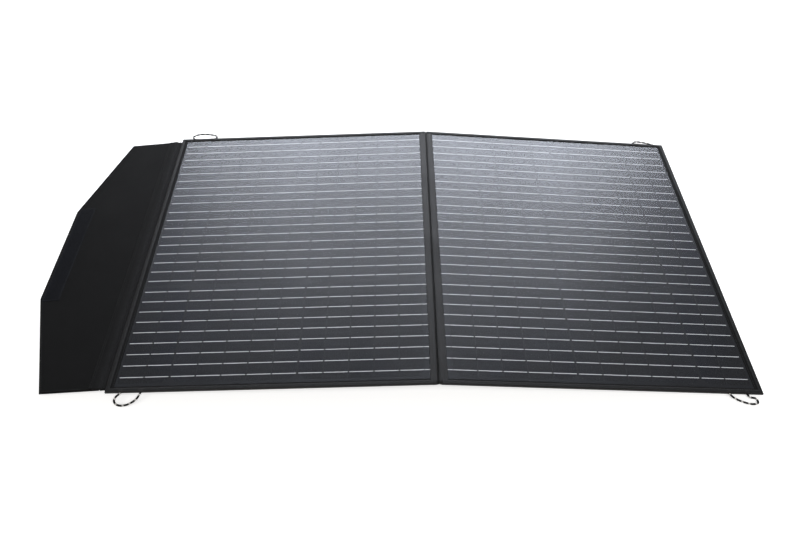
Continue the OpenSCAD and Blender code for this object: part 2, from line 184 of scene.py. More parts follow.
def slab(name, us, ys, put, top, bottom, material, hole=None):
    """A closed sheet over the grid us x ys, from bottom(u, y) up to top(u, y); hole(u, y) leaves a window open."""
    n, m = len(us), len(ys)
    index, verts, uvs = {}, [], []

    def vertex(i, j, face):
        if (i, j, face) not in index:
            index[(i, j, face)] = len(verts)
            u, y = us[i], ys[j]
            verts.append(put(u, y, top(u, y) if face else bottom(u, y)))
            uvs.append((u, y))
        return index[(i, j, face)]

    def filled(i, j):
        if not (0 <= i < n - 1 and 0 <= j < m - 1):
            return False
        return hole is None or not hole((us[i] + us[i + 1]) / 2, (ys[j] + ys[j + 1]) / 2)

    faces = []
    for i in range(n - 1):
        for j in range(m - 1):
            if not filled(i, j):
                continue
            faces.append([vertex(i, j, 1), vertex(i + 1, j, 1), vertex(i + 1, j + 1, 1), vertex(i, j + 1, 1)])
            faces.append([vertex(i, j, 0), vertex(i, j + 1, 0), vertex(i + 1, j + 1, 0), vertex(i + 1, j, 0)])
            for di, dj, a, b in CELL_SIDES:
                if not filled(i + di, j + dj):
                    p, q = (i + a[0], j + a[1]), (i + b[0], j + b[1])
                    faces.append([vertex(*p, 0), vertex(*q, 0), vertex(*q, 1), vertex(*p, 1)])
    return shell(name, verts, faces, uvs, material)


def stitches(name, lines, material, length=2.5, pitch=3.2, radius=0.19, sink=0.05):
    """Rows of sewn stitches. A line is a list of (point, normal); its stitches lie along it, a little sunk."""
    rng = random.Random(name)
    verts, faces, uvs = [], [], []
    sides = 6
    for line in lines:
        run = [0.0]
        for (p, _), (q, _) in zip(line, line[1:]):
            run.append(run[-1] + (q - p).length)
        if run[-1] < pitch * MM:
            continue

        def at(d):
            d = min(max(d, 0.0), run[-1])
            k = 0
            while k < len(run) - 2 and run[k + 1] < d:
                k += 1
            t = (d - run[k]) / max(run[k + 1] - run[k], 1e-9)
            return line[k][0].lerp(line[k + 1][0], t), line[k][1].lerp(line[k + 1][1], t).normalized()

        count = max(1, round(run[-1] / (pitch * MM)))
        step = run[-1] / count
        for i in range(count):
            middle = (i + 0.5) * step + rng.uniform(-0.1, 0.1) * MM
            half = length * MM * rng.uniform(0.44, 0.52)
            a, up = at(middle - half)
            b, _ = at(middle + half)
            along = b - a
            if along.length < 1e-6:
                continue
            along.normalize()
            across = up.cross(along).normalized()
            first = len(verts)
            for t, size, lift in STITCH_SHAPE:
                centre = a.lerp(b, t) + up * ((lift * radius - sink) * MM)
                for k in range(sides):
                    turn = k * math.tau / sides
                    ring = across * math.cos(turn) + up * 0.8 * math.sin(turn)
                    verts.append(centre + ring * radius * size * MM)
                    uvs.append((t * length * MM, k / sides * MM))
            rings = len(STITCH_SHAPE)
            faces += grid_faces(rings, sides, first, close_cols=True)
            faces.append([first + k for k in range(sides)])
            faces.append([first + (rings - 1) * sides + k for k in reversed(range(sides))])
    return shell(name, verts, faces, uvs, material)


# ---- materials
class Graph:
    """A short way to write a material's nodes."""

    def __init__(self, name, **fixed):
        self.material = bpy.data.materials.new(name)
        self.material.use_nodes = True
        self.tree = self.material.node_tree
        self.shader = self.tree.nodes["Principled BSDF"]
        for key, value in fixed.items():
            self.shader.inputs[key.replace("_", " ")].default_value = value

    def node(self, kind, inputs=None, out=0, **settings):
        n = self.tree.nodes.new(kind)
        for key, value in settings.items():
            setattr(n, key, value)
        for key, value in (inputs or {}).items():
            if isinstance(value, bpy.types.NodeSocket):
                self.tree.links.new(value, n.inputs[key])
            else:
                n.inputs[key].default_value = value
        return n.outputs[out]

    def math(self, operation, a, b=0.5, c=0.5):
        return self.node("ShaderNodeMath", {0: a, 1: b, 2: c}, operation=operation)

    def add(self, a, b):
        return self.math("ADD", a, b)

    def sub(self, a, b):
        return self.math("SUBTRACT", a, b)

    def mul(self, a, b, plus=None):
        return self.math("MULTIPLY", a, b) if plus is None else self.math("MULTIPLY_ADD", a, b, plus)

    def div(self, a, b):
        return self.math("DIVIDE", a, b)

    def coords(self, kind="UV"):
        if kind == "UV":
            return self.node("ShaderNodeUVMap", uv_map="cloth")
        return self.node("ShaderNodeTexCoord", out=kind)

    def split(self, vector):
        n = self.tree.nodes.new("ShaderNodeSeparateXYZ")
        self.tree.links.new(vector, n.inputs[0])
        return n.outputs[0], n.outputs[1], n.outputs[2]

    def join(self, x, y, z=0.0):
        return self.node("ShaderNodeCombineXYZ", {0: x, 1: y, 2: z})

    def noise(self, vector, scale, detail=3.0):
        inputs = {"Vector": vector, "Scale": scale, "Detail": detail, "Roughness": 0.55}
        return self.node("ShaderNodeTexNoise", inputs)

    def range(self, value, low, high, to_low, to_high):
        return self.node("ShaderNodeMapRange", {0: value, 1: low, 2: high, 3: to_low, 4: to_high})

    def vary(self, noise, low, high):
        """Maps noise, which mostly stays between 0.3 and 0.7."""
        return self.range(noise, 0.3, 0.7, low, high)

    def blend(self, factor, a, b):
        return self.node("ShaderNodeMix", {0: factor, 6: a, 7: b}, 2, data_type="RGBA")

    def finish(self, color=None, roughness=None, height=None, depth=0.0001, strength=1.0):
        if color is not None:
            self.tree.links.new(color, self.shader.inputs["Base Color"])
        if roughness is not None:
            self.tree.links.new(roughness, self.shader.inputs["Roughness"])
        if height is not None:
            bump = self.node("ShaderNodeBump", {"Strength": strength, "Distance": depth, "Height": height})
            self.tree.links.new(bump, self.shader.inputs["Normal"])
        return self.material


def rgb(r, g, b):
    return (r, g, b, 1.0)


def fabric(name, dark, light, pitch=0.55, across=None, rough=(0.66, 0.76), sheen=0.12, depth=0.12, shine=0.14,
           coords="UV", painted_shading=None):
    """Plain-woven cloth: threads over and under each other, with slubs. pitch and depth are in mm."""
    g = Graph(name, Specular_IOR_Level=shine, Sheen_Weight=sheen, Sheen_Roughness=0.45)
    x, y, _ = g.split(g.coords(coords))
    place = g.join(x, y)
    u = g.div(x, pitch * MM)
    v = g.div(y, (across or pitch) * MM)
    over = g.math("MODULO", g.math("ABSOLUTE", g.add(g.math("FLOOR", u), g.math("FLOOR", v))), 2.0)
    warp = g.math("ABSOLUTE", g.math("SINE", g.mul(u, math.pi)))
    weft = g.math("ABSOLUTE", g.math("SINE", g.mul(v, math.pi)))
    # A thread's roundness across it, and its rise where it passes over the other thread
    warp_over = g.mul(g.math("POWER", warp, 0.5), g.mul(weft, 0.5, 0.5))
    weft_over = g.mul(g.math("POWER", weft, 0.5), g.mul(warp, 0.5, 0.5))
    under = g.sub(1.0, over)
    weave = g.add(g.mul(warp_over, over), g.mul(weft_over, under))
    slub = g.noise(g.node("ShaderNodeMapping", {0: place, 3: (900.0, 90.0, 1.0)}), 1.0, 2.0)
    cloud = g.noise(place, 14.0, 4.0)
    level = g.mul(weave, g.mul(slub, 0.7, 0.65))
    level = g.mul(level, g.mul(cloud, 0.5, 0.76))
    # Painted shade: the colour follows the weave's height, so the hollows between threads are darker than the thread
    # crowns; slub and cloud vary the tone for real
    color = g.blend(level, dark, light)
    if painted_shading:
        # Painted shading: another tone near the middle line, standing in for how light falls there rather than a
        # change in the cloth, with its strength varied by the cloud noise; it fades between two distances, in mm,
        # along the cloth
        start, end, tone = painted_shading
        fade = g.range(g.math("ABSOLUTE", x), start * MM, end * MM, 1.0, 0.0)
        painted_shading_share = g.mul(fade, g.mul(cloud, 1.2, 0.3))
        color = g.blend(painted_shading_share, color, g.blend(level, dark, tone))
    roughness = g.vary(cloud, *rough)
    return g.finish(color, roughness, weave, depth * MM, 0.8)


def plastic(name, dark, light, rough=(0.4, 0.55), grain=2500.0, depth=0.03, coords="Object", **fixed):
    """Moulded plastic: a fine spark texture and slight variation."""
    g = Graph(name, **fixed)
    place = g.coords(coords)
    grit = g.noise(place, grain, 2.0)
    cloud = g.noise(place, 30.0, 3.0)
    return g.finish(g.blend(cloud, dark, light), g.vary(cloud, *rough), grit, depth * MM, 0.6)


def metal(name, dark, light, rough=(0.25, 0.4), stretch=(300.0, 4000.0, 300.0)):
    """Worn metal with fine scratches along one way."""
    g = Graph(name, Metallic=1.0)
    place = g.coords("Object")
    scratch = g.noise(g.node("ShaderNodeMapping", {0: place, 3: stretch}), 1.0, 3.0)
    cloud = g.noise(place, 60.0, 4.0)
    return g.finish(g.blend(cloud, dark, light), g.vary(scratch, *rough), scratch, 0.01 * MM, 0.5)


BLACK, BLACK_THREAD = rgb(0.001, 0.001, 0.001), rgb(0.0046, 0.0046, 0.0047)
OXFORD = fabric("oxford_black", BLACK, BLACK_THREAD, sheen=0.01, shine=0.11)
# Painted highlight: the tone given below lightens the cloth from the spine out to 11 mm, fading by 21 mm, where the
# hinge's cloth rises and catches the light
HINGE = fabric(
    "oxford_hinge", BLACK, BLACK_THREAD, sheen=0.01, shine=0.11,
    painted_shading=(11.0, 21.0, rgb(0.012, 0.012, 0.0125)),
)
# Painted shade: the tone given below darkens the band within 1.4 mm of the fold line, fading out by 4 mm, standing in
# for the crease's shade
FOLD_CLOTH = fabric(
    "oxford_fold", rgb(0.002, 0.002, 0.0022), rgb(0.012, 0.012, 0.0128), rough=(0.5, 0.66), sheen=0.02, shine=0.34,
    painted_shading=(1.4, 4.0, rgb(0.0012, 0.0012, 0.0012)),
)
TAPE = fabric(
    "binding_black", BLACK, rgb(0.0042, 0.0042, 0.0043), pitch=1.1, across=0.4, rough=(0.5, 0.64), sheen=0.012,
    shine=0.3,
)
WEBBING = fabric(
    "webbing_black", rgb(0.002, 0.002, 0.002), rgb(0.014, 0.014, 0.0145), pitch=1.4, across=0.7, sheen=0.03,
    coords="Object",
)
LINING = fabric("pocket_black", rgb(0.0014, 0.0014, 0.0015), rgb(0.0085, 0.0085, 0.009), pitch=0.7, sheen=0.02)
ZIP_TAPE = fabric(
    "zip_tape_black", rgb(0.0015, 0.0015, 0.0015), rgb(0.01, 0.01, 0.0105), pitch=0.8, across=0.4, sheen=0.02,
    coords="Object",
)
THREAD = fabric(
    "thread_grey", rgb(0.008, 0.008, 0.009), rgb(0.05, 0.05, 0.05), pitch=0.35, sheen=0.06, depth=0.05,
)


def hook_material(name, dark, light, scale):
    """The fuzzy ground that the hooks or loops stand on."""
    g = Graph(name, Specular_IOR_Level=0.1, Sheen_Weight=0.02, Sheen_Roughness=0.4)
    place = g.coords("UV")
    pile = g.node("ShaderNodeTexVoronoi", {"Vector": place, "Scale": scale}, feature="F1")
    cloud = g.noise(place, 60.0, 3.0)
    level = g.mul(g.sub(1.0, pile), g.mul(cloud, 0.7, 0.5))
    return g.finish(g.blend(level, dark, light), g.vary(cloud, 0.5, 0.7), pile, 0.15 * MM, 0.8)


HOOKS = hook_material("hook_tape", rgb(0.0014, 0.0015, 0.0021), rgb(0.0115, 0.0128, 0.0175), 900.0)
LOOPS = hook_material("loop_tape", rgb(0.0022, 0.0022, 0.0025), rgb(0.013, 0.013, 0.0145), 700.0)


# Length from one white fleck to the next, in mm, and the share of it that is white
FLECK_PITCH, FLECK_SHARE = 9.5, 0.27


def cord_material():
    """Braided cord: black strands with white tracer strands that come up at regular places."""
    g = Graph("cord_flecked", Specular_IOR_Level=0.15, Sheen_Weight=0.03, Sheen_Roughness=0.4)
    along, around, _ = g.split(g.coords("UV"))
    s = g.div(along, FLECK_PITCH * MM)
    # The white fleck's ends are uneven round the cord
    uneven = g.mul(g.math("SINE", g.mul(around, math.tau)), 0.07)
    fleck = g.math("LESS_THAN", g.math("FRACT", g.add(s, uneven)), FLECK_SHARE)
    # Strands run both ways round: some cross over the fleck
    ahead, round_it = g.mul(s, 6.0), g.mul(around, 8.0)
    crossing = g.math("SINE", g.mul(g.sub(ahead, round_it), math.tau))
    fleck = g.mul(fleck, g.math("GREATER_THAN", crossing, -0.75))
    strand = g.math("ABSOLUTE", g.math("SINE", g.mul(g.add(ahead, round_it), math.pi)))
    fuzz = g.noise(g.join(along, g.mul(around, 0.01)), 2500.0, 3.0)
    black = g.blend(fuzz, rgb(0.002, 0.002, 0.002), rgb(0.01, 0.01, 0.0105))
    white = g.blend(fuzz, rgb(0.55, 0.53, 0.5), rgb(0.85, 0.84, 0.82))
    return g.finish(g.blend(fleck, black, white), g.vary(fuzz, 0.6, 0.8), strand, 0.1 * MM, 0.7)


CORD = cord_material()


# Where the cells' first strip and row start, and the steps between them, in mm
STRIP_START, STRIP_STEP, ROW_START, ROW_STEP = 19.2, 34.93, -252.9, 168.6
FINGER_STEP, FINGER_SHARE = 1.55, 0.045


def strip_place(g, side):
    """Object coordinates as u (outward), y, and the indices of strip and row."""
    x, y, _ = g.split(g.coords("Object"))
    way = -1.0 if side == "left" else 1.0
    u = g.mul(g.sub(x, FOLD.x), way)
    strip = g.math("FLOOR", g.div(g.sub(u, STRIP_START * MM), STRIP_STEP * MM))
    row = g.math("FLOOR", g.div(g.sub(y, ROW_START * MM), ROW_STEP * MM))
    return u, y, strip, row


def silicon(side):
    """Monocrystalline strips: nitride blue-black, fine silver fingers, a slightly different tone on each strip."""
    g = Graph(f"{side}_silicon", Specular_IOR_Level=0.2)
    u, y, strip, row = strip_place(g, side)
    wafer_number = g.math("FLOOR", g.div(strip, 5.0))
    tone = g.node("ShaderNodeTexWhiteNoise", {"Vector": g.join(strip, row)}, noise_dimensions="3D")
    wafer = g.node("ShaderNodeTexWhiteNoise", {"Vector": g.join(wafer_number, row, 3.0)}, noise_dimensions="3D")
    cloud = g.noise(g.join(u, y), 9.0, 4.0)
    patch = g.noise(g.join(u, y, 4.0), 3.2, 2.0)
    level = g.add(g.mul(tone, 0.35), g.mul(cloud, 0.5))
    base = g.blend(level, rgb(0.0024, 0.0023, 0.0024), rgb(0.0078, 0.0076, 0.0082))
    blue = g.mul(g.range(patch, 0.5, 0.72, 0.0, 1.0), g.mul(wafer, 0.6, 0.3))
    base = g.blend(blue, base, rgb(0.0048, 0.0078, 0.018))
    # Fine fingers run from front to back
    finger = g.math("LESS_THAN", g.math("FRACT", g.div(u, FINGER_STEP * MM)), FINGER_SHARE)
    color = g.blend(finger, base, rgb(0.09, 0.092, 0.1))
    height = g.add(finger, g.mul(cloud, 0.2))
    roughness = g.range(g.add(tone, cloud), 0.6, 1.4, 0.34, 0.46)
    return g.finish(color, roughness, height, 0.01 * MM, 0.3)


def ribbon_material():
    """Tin-coated ribbon: bright, slightly warm, with solder runs that brighten and dull it along its length."""
    g = Graph("tinned_ribbon", Metallic=0.1, Specular_IOR_Level=0.5)
    place = g.coords("Object")
    runs = g.noise(g.node("ShaderNodeMapping", {0: place, 3: (55.0, 400.0, 55.0)}), 1.0, 3.0)
    grain = g.noise(place, 3000.0, 2.0)
    color = g.blend(g.vary(runs, 0.0, 1.0), rgb(0.86, 0.84, 0.8), rgb(1.0, 0.98, 0.94))
    height = g.add(runs, g.mul(grain, 0.3))
    return g.finish(color, g.vary(runs, 0.62, 0.42), height, 0.04 * MM, 0.6)


def backsheet_material():
    """Black sheet behind the cells."""
    g = Graph("backsheet_black", Specular_IOR_Level=0.3)
    place = g.coords("Object")
    cloud = g.noise(place, 22.0, 3.0)
    grit = g.noise(place, 1800.0, 2.0)
    color = g.blend(cloud, rgb(0.0038, 0.0038, 0.0045), rgb(0.0072, 0.0074, 0.0092))
    return g.finish(color, g.vary(cloud, 0.4, 0.55), grit, 0.02 * MM, 0.4)


def film_material():
    """Clear satin front film: see-through, with a soft broad reflection that dust and rubbing vary a little."""
    g = Graph("front_film_satin")
    tree, place = g.tree, g.coords("UV")
    cloud = g.noise(place, 7.0, 4.0)
    dimple = g.noise(place, 2600.0, 2.0)
    bump = g.node("ShaderNodeBump", {"Strength": 0.12, "Distance": 0.012 * MM, "Height": dimple})
    clear = g.node("ShaderNodeBsdfTransparent", {0: rgb(0.9, 0.91, 0.93)})
    rough = g.vary(cloud, 0.34, 0.39)
    gloss = {"Color": rgb(0.96, 0.975, 1.0), "Roughness": rough, "Normal": bump}
    gloss = g.node("ShaderNodeBsdfAnisotropic", gloss)
    # The textured face scatters light that grazes it, so its reflection stops growing there
    mirrored = g.math("MINIMUM", g.node("ShaderNodeFresnel", {"IOR": 1.46}), 0.07)
    share = g.mul(mirrored, g.mul(cloud, 0.3, 0.9))
    # Only the upper face reflects: the lower one is bonded to the cells
    share = g.mul(share, g.sub(1.0, g.node("ShaderNodeNewGeometry", out="Backfacing")))
    mixed = g.node("ShaderNodeMixShader", {0: share, 1: clear, 2: gloss})
    tree.links.new(mixed, tree.nodes["Material Output"].inputs["Surface"])
    tree.nodes.remove(g.shader)
    return g.material


RIBBON = ribbon_material()
BACKSHEET = backsheet_material()
FILM = film_material()
BOARD = plastic("board_glass_fibre", rgb(0.16, 0.15, 0.11), rgb(0.3, 0.28, 0.22), grain=700.0, depth=0.05)
BOX = plastic("box_polymer", rgb(0.018, 0.018, 0.019), rgb(0.034, 0.034, 0.036))
GLAND = plastic("gland_nylon", rgb(0.012, 0.012, 0.013), rgb(0.026, 0.026, 0.028), rough=(0.32, 0.45))
DIODE = plastic("diode_epoxy", rgb(0.008, 0.008, 0.008), rgb(0.02, 0.02, 0.02), rough=(0.35, 0.5))
TEETH = plastic("zip_teeth_resin", rgb(0.012, 0.012, 0.014), rgb(0.03, 0.03, 0.034), rough=(0.22, 0.34))
STEEL = metal("screw_zinc", rgb(0.42, 0.42, 0.41), rgb(0.68, 0.68, 0.67))
BRASS = metal("terminal_brass", rgb(0.5, 0.36, 0.15), rgb(0.76, 0.58, 0.28))
BRAID = fabric(
    "jumper_braid", rgb(0.3, 0.15, 0.07), rgb(0.66, 0.4, 0.22), pitch=1.0, across=0.5, rough=(0.3, 0.42), sheen=0.0,
    depth=0.1,
)
BRAID.node_tree.nodes["Principled BSDF"].inputs["Metallic"].default_value = 1.0


def lacquer():
    """Black-lacquered zinc, chipped to bare metal in small spots."""
    g = Graph("zip_lacquer", Metallic=0.6, Coat_Weight=0.3, Coat_Roughness=0.2)
    place = g.coords("Object")
    cloud = g.noise(place, 400.0, 4.0)
    chipped = g.range(cloud, 0.62, 0.7, 0.0, 0.7)
    color = g.blend(chipped, rgb(0.012, 0.012, 0.013), rgb(0.35, 0.34, 0.32))
    return g.finish(color, g.vary(cloud, 0.28, 0.42), cloud, 0.01 * MM, 0.4)


LACQUER = lacquer()


def paint(node, material):
    """Gives a CAD node its material."""
    mesh = nodes[node].data
    mesh.materials.clear()
    mesh.materials.append(material)
    mesh.polygons.foreach_set("material_index", [0] * len(mesh.polygons))


for panel in ("left", "right"):
    paint(f"{panel}_cells", silicon(panel))
    paint(f"{panel}_ribbons", RIBBON)
    paint(f"{panel}_bus_strips", RIBBON)
    paint(f"{panel}_backsheet", BACKSHEET)
    paint(f"{panel}_board", BOARD)
    paint(f"{panel}_cord_anchors", WEBBING)
for node, material in {
    "flap_board": BOARD, "zip_tape": ZIP_TAPE, "zip_teeth": TEETH, "zip_slider": LACQUER, "zip_pull": LACQUER,
    "box_base": BOX, "box_lid": BOX, "box_screws": STEEL, "box_terminals": BRASS, "box_diodes": DIODE,
    "box_gland": GLAND,
}.items():
    paint(node, material)

# ---- cord loops
ROUTES = {
    "front_left": ("left_panel", [
        (-354, -265, 18.5), (-360, -269, 16), (-363, -273, 12), (-360, -277, 9), (-353, -278, 7.5),
        (-344, -276, 8), (-334, -271, 12), (-327, -265, 19.5)]),
    "back_left": ("left_panel", [
        (-352, 265, 18.5), (-357, 270, 18), (-359, 277, 16), (-353, 285, 14), (-342, 288, 13),
        (-330, 287, 13), (-319, 282, 14.5), (-315, 275, 16.5), (-317, 269, 18.5), (-321, 265, 19.5)]),
    "front_right": ("right_panel", [
        (477, -265, 6), (485, -271, 3), (496, -276, 1.5), (507, -279, 1.5), (515, -277, 1.5),
        (514, -271, 2), (506, -269, 3), (503, -265, 4)]),
    "back_right": ("right_panel", [
        (476, 265, 6), (473, 269, 4), (475, 275, 2), (482, 278, 1.5), (492, 276, 1.5),
        (501, 272, 2), (507, 268, 3), (511, 265, 3.5)]),
}
CORD_R = 1.5 * MM


def smooth_route(points, steps=16):
    """A smooth curve through the route's points."""
    p = [Vector(q) * MM for q in points]
    p = [2 * p[0] - p[1], *p, 2 * p[-1] - p[-2]]
    path = []
    for a, b, c, d in zip(p, p[1:], p[2:], p[3:]):
        for k in range(steps):
            t = k / steps
            square, cube = 2 * a - 5 * b + 4 * c - d, 3 * b - a - 3 * c + d
            path.append(0.5 * (2 * b + (c - a) * t + square * t * t + cube * t ** 3))
    return [*path, p[-2]]


for name, (body, points) in ROUTES.items():
    path = smooth_route(points)
    sides, verts, uvs, faces, run = 20, [], [], [], 0.0
    for i, centre in enumerate(path):
        run += (centre - path[i - 1]).length if i else 0.0
        ahead = (path[min(i + 1, len(path) - 1)] - path[max(i - 1, 0)]).normalized()
        side = ahead.cross(Vector((0, 0, 1))).normalized()
        over = side.cross(ahead)
        for k in range(sides):
            turn = k * math.tau / sides
            # Two sets of strands cross, and stand proud where they pass over
            braid = math.sin(4 * turn + run / MM * 2.1) * math.sin(4 * turn - run / MM * 2.1)
            r = CORD_R * (0.95 + 0.06 * braid)
            verts.append(centre + (side * math.cos(turn) + over * math.sin(turn)) * r)
            uvs.append((run, k / sides))
    faces = grid_faces(len(path), sides, close_cols=True)
    faces += [list(range(sides)), [len(verts) - 1 - k for k in range(sides)]]
    loop = shell(f"loop_{name}", verts, faces, uvs, CORD)
    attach(loop, body)
    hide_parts(f"cord_{name}")


# ---- panels
def up_of(put):
    """The way up from a body's face."""
    return (put(0, 0, 1) - put(0, 0, 0)).normalized()


def build_panel(side):
    put = on_panel(side)
    body = f"{side}_panel"
    up = up_of(put)
    seed = 1.0 if side == "left" else 5.0

    # Front film: a thin closed sheet with the slight waves that a laminate has
    def film_top(u, y):
        wave = 0.05 * ripple(u, y, 0.07, seed) + 0.03 * ripple(u, y, 0.02, seed + 9)
        return (FILM_FACE + wave) * MM

    film = slab(
        f"{side}_front_film", spread(0.0095, 0.4465, 110), spread(-0.2595, 0.2595, 130), put,
        film_top, lambda u, y: FILM_UNDER * MM, FILM,
    )
    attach(film, body)
    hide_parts(f"{side}_film")

    # Border: three sides of a cloth frame, turned under at the window
    def border_top(u, y):
        from_end = abs(u - WINDOW_END) if abs(y) < WINDOW_HALF else 1
        from_side = abs(abs(y) - WINDOW_HALF) if u < WINDOW_END else 1
        near = min(from_end, from_side)
        fall = 0.28 * math.exp(-((near / MM) / 0.5) ** 2)
        seam = 0.14 * math.exp(-(((near / MM) - SEAM_INSET) / 0.45) ** 2)
        return (CLOTH_FACE - fall - seam + 0.05 * ripple(u, y, 0.012, seed + 2)) * MM

    lip = [d * MM for d in EDGE_STEPS]
    us = sorted({*spread(WINDOW_START, WINDOW_END, 90), *[WINDOW_END + d for d in lip], 0.4465, 0.449, 0.4508})
    ys = [
        -0.2635, -0.2615, *[-WINDOW_HALF - d for d in reversed(lip)], *spread(-WINDOW_HALF, WINDOW_HALF, 110)[1:-1],
        *[WINDOW_HALF + d for d in lip], 0.2615, 0.2635,
    ]
    border = slab(
        f"{side}_border_cloth", us, ys, put, border_top, lambda u, y: CLOTH_UNDER * MM, OXFORD,
        hole=lambda u, y: u < WINDOW_END and abs(y) < WINDOW_HALF,
    )
    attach(border, body)
    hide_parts(f"{side}_border")

    # Back cover, with faint sags between its seams
    def back_face(u, y):
        return (-4.3 + 0.06 * ripple(u, y, 0.05, seed + 4) + 0.03 * ripple(u, y, 0.015, seed + 5)) * MM

    back = slab(
        f"{side}_back_cloth", spread(0.0031, 0.4508, 90), spread(-0.2638, 0.2638, 106), put,
        lambda u, y: BACK_TOP * MM, back_face, OXFORD,
    )
    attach(back, body)
    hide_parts(f"{side}_back_fabric")

    # Binding: one tape folded round the front, outer and back edges. Its section, in mm inward and up, runs from the
    # inner edge on the face, round the outside and back to the inner edge underneath, then returns inside.
    section = [
        (6.0, -0.52), (5.9, -0.26), (5.2, -0.19), (3.5, -0.17), (1.8, -0.18), (0.9, -0.25), (0.35, -0.55),
        (0.08, -1.1), (0.0, -2.4), (0.08, -3.8), (0.35, -4.35), (0.9, -4.64), (1.8, -4.72), (3.5, -4.72),
        (5.2, -4.7), (5.9, -4.62), (6.0, -4.37), (3.5, -4.4), (1.4, -4.36), (0.8, -3.9), (0.6, -2.4),
        (0.8, -0.95), (1.4, -0.56), (3.5, -0.53),
    ]
    middle, returns = -2.4, 17
    runs = []
    for t in spread(0.0031, PANEL_W, 150):
        runs.append((t, -HALF_D, 0, 1))
    for t in spread(-HALF_D, HALF_D, 178)[1:]:
        runs.append((PANEL_W, t, -1, 0))
    for t in reversed(spread(0.0031, PANEL_W, 150)[:-1]):
        runs.append((t, HALF_D, 0, -1))
    corners = {150: (-1, 1), 328: (-1, -1)}
    verts, uvs, run, last = [], [], 0.0, None
    for i, (u, y, du, dy) in enumerate(runs):
        if i in corners:
            du, dy = corners[i]
        run += math.hypot(u - last[0], y - last[1]) if last else 0.0
        last = (u, y)
        for k, (inward, w) in enumerate(section):
            ruck = 0.05 * ripple(run, k * 0.002, 0.011, seed + 6) * (1 if inward > 0.5 else 0.4)
            grow = 0.14 * ripple(run, 0.0, 0.02, seed + 7) if inward > 5 else 0.0
            d = (inward + grow) * MM
            w = w + (ruck if w > middle else -ruck) * (0 if abs(w - middle) < 1.6 else 1)
            verts.append(put(u + du * d, y + dy * d, min(max(w, -4.75), -0.15) * MM))
            uvs.append((run, (k if k < returns else 2 * returns - k) * 0.9 * MM))
    n = len(section)
    faces = grid_faces(len(runs), n, close_cols=True)
    faces += [list(range(n)), [len(verts) - 1 - k for k in range(n)]]
    binding = shell(f"{side}_edge_binding", verts, faces, uvs, TAPE)
    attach(binding, body)
    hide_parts(f"{side}_binding")

    # Stitches: along the window's edge, and along the binding's inner edge on both faces
    e, b = SEAM_INSET * MM, BINDING_SEAM * MM

    def three_sides(u0, u1, half, w, way):
        corners = [(u0, -half), (u1, -half), (u1, half), (u0, half)]
        return [(put(u, y, w * MM), way) for u, y in corners]

    lines = [
        three_sides(0.0125, WINDOW_END + e, WINDOW_HALF + e, -0.60, up),
        three_sides(0.005, PANEL_W - b, HALF_D - b, -0.17, up),
        three_sides(0.005, PANEL_W - b, HALF_D - b, UNDERSIDE, -up),
    ]
    sewn = stitches(f"{side}_seams", lines, THREAD)
    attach(sewn, body)

    # Bar tacks where the cord's ends go into the hem
    roots = [Vector(p) * MM for name, (_, r) in ROUTES.items() if name.endswith(side) for p in (r[0], r[-1])]
    tacks = []
    for p in roots:
        u = abs(p.x - FOLD.x) / math.cos(LEFT_SLOPE if side == "left" else RIGHT_SLOPE)
        way = -1 if p.y < 0 else 1
        for k in range(5):
            y = way * (HALF_D - (1.2 + 0.8 * k) * MM)
            tacks.append([(put(u - 3.4 * MM, y, -0.15 * MM), up), (put(u + 3.4 * MM, y, -0.15 * MM), up)])
    tack = stitches(f"{side}_bar_tacks", tacks, THREAD, length=2.0, pitch=1.9, radius=0.2)
    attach(tack, body)


for panel in ("left", "right"):
    build_panel(panel)

# ---- centre fold
LEFT, RIGHT = on_panel("left"), on_panel("right")


def across_fold(u, y, w):
    """u is below 0 on the left panel and above 0 on the right one; the two slopes meet in a rounded ridge."""
    if u < -3 * MM:
        return LEFT(-u, y, w)
    if u > 3 * MM:
        return RIGHT(u, y, w)
    t = (u / MM + 3) / 6
    return LEFT(-u, y, w).lerp(RIGHT(u, y, w), t * t * (3 - 2 * t))


def groove(u, y):
    """Depth in mm of the crease: a soft hollow with a sharp line in it that wanders from front to back."""
    centre = -1.5 + 2.3 * (y + HALF_D) / (2 * HALF_D) + 0.35 * ripple(0, y, 0.09, 3)
    d = u / MM - centre
    soft = 0.85 * math.exp(-(d / (1.5 if d < 0 else 2.1)) ** 2)
    sharp = 1.45 * math.exp(-(d / 0.8) ** 2)
    fade = max(0.0, 1 - max(0.0, abs(u / MM) - 2.2) / 1.4)
    return soft + sharp * fade


def fold_top(u, y):
    """The band's face: rolled edges, a slight pillow on each side and the crease."""
    edge = 12 - abs(u / MM)
    lip = 0.28 * math.exp(-(edge / 0.5) ** 2) + 0.14 * math.exp(-((edge - SEAM_INSET) / 0.45) ** 2)
    pillow = 0.12 * math.sin(math.pi * min(max((abs(u / MM) - 3) / 9, 0), 1))
    return (CLOTH_FACE - lip + pillow - groove(u, y) + 0.05 * ripple(u, y, 0.014, 11)) * MM


fold_us = sorted({
    *[-WINDOW_START + d * MM for d in EDGE_STEPS], *[WINDOW_START - d * MM for d in EDGE_STEPS],
    *spread(-0.009, 0.009, 60),
})


def fold_under(u, y):
    """The band hugs the crease from below, and lies on the panels beside it."""
    return (fold_top(u, y) / MM - 0.34) * MM if abs(u) < 4 * MM else CLOTH_UNDER * MM


fold_cover = slab(
    "fold_cover", fold_us, spread(-FOLD_HALF, FOLD_HALF, 132), across_fold, fold_top, fold_under, FOLD_CLOTH,
)
JUMPER_Y, JUMPER_HALF = -0.15, 0.006


def runout_face(u, y):
    return (-4.36 + 0.04 * ripple(u, y, 0.01, 12)) * MM


def hem_top(u, y):
    """The hem's top edge, lower where the jumper crosses it."""
    return (-1.95 if abs(y - JUMPER_Y) < JUMPER_HALF + 2.5 * MM else -1.62) * MM


